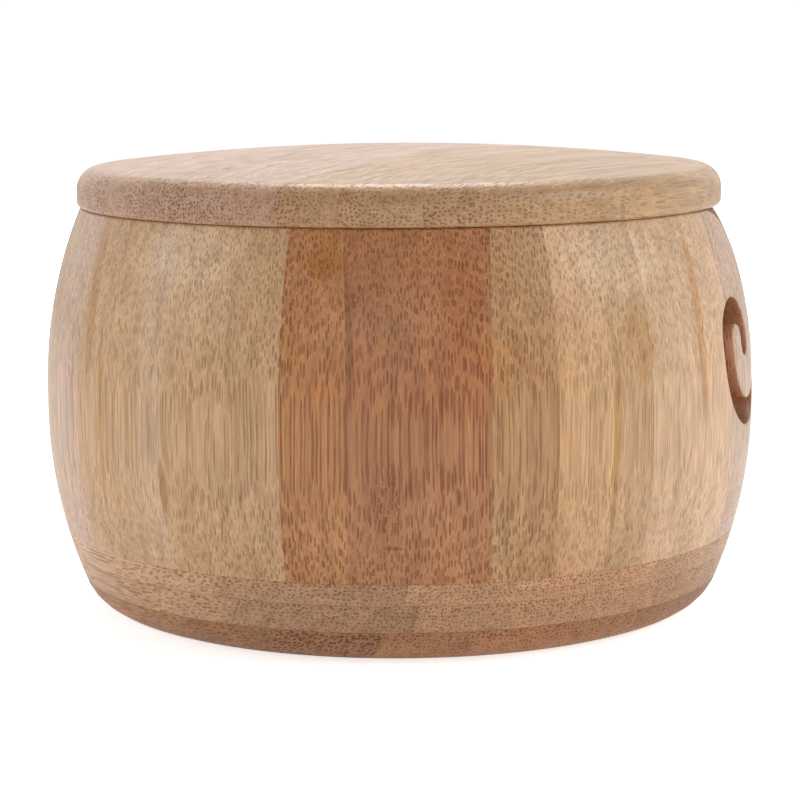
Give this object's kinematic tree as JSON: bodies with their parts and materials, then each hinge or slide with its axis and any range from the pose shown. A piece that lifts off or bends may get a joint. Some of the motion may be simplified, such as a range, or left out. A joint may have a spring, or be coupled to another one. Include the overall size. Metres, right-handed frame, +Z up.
{
  "type": "lidded yarn bowl",
  "caption": "Lidded barrel-shaped bamboo yarn bowl with glued staves, a laminated base, a domed lid and a swirl yarn slot cut through the rim.",
  "frame": {"origin": "middle of the underside", "axes": "+Z up along the bowl's axis, +X out through the middle of the yarn slot"},
  "size_m": [0.15, 0.15, 0.0963],
  "materials": {
    "wall_bamboo": "satin lacquer",
    "base_bamboo": "satin lacquer",
    "lid_bamboo": "satin lacquer"
  },
  "bodies": {
    "bowl": {"base_board_bottom": "base_bamboo", "base_board_middle": "base_bamboo", "base_board_top": "base_bamboo", "stave_slotted": "wall_bamboo", "slot_hook": "wall_bamboo", "stave_back_1": "wall_bamboo", "stave_back_2": "wall_bamboo", "stave_back_3": "wall_bamboo", "stave_back_4": "wall_bamboo", "stave_back_5": "wall_bamboo", "stave_front_1": "wall_bamboo", "stave_front_2": "wall_bamboo", "stave_front_3": "wall_bamboo"},
    "lid": {"lid_strip_1": "lid_bamboo", "lid_strip_2": "lid_bamboo", "lid_strip_3": "lid_bamboo", "lid_strip_4": "lid_bamboo", "lid_strip_5": "lid_bamboo", "lid_strip_6": "lid_bamboo", "lid_strip_7": "lid_bamboo", "lid_strip_8": "lid_bamboo", "lid_strip_9": "lid_bamboo"}
  },
  "joints": [
    {"name": "lid_lift", "type": "slide", "parent": "bowl", "child": "lid", "axis": [0, 0, 1], "range_m": [0, 0.12]}
  ]
}
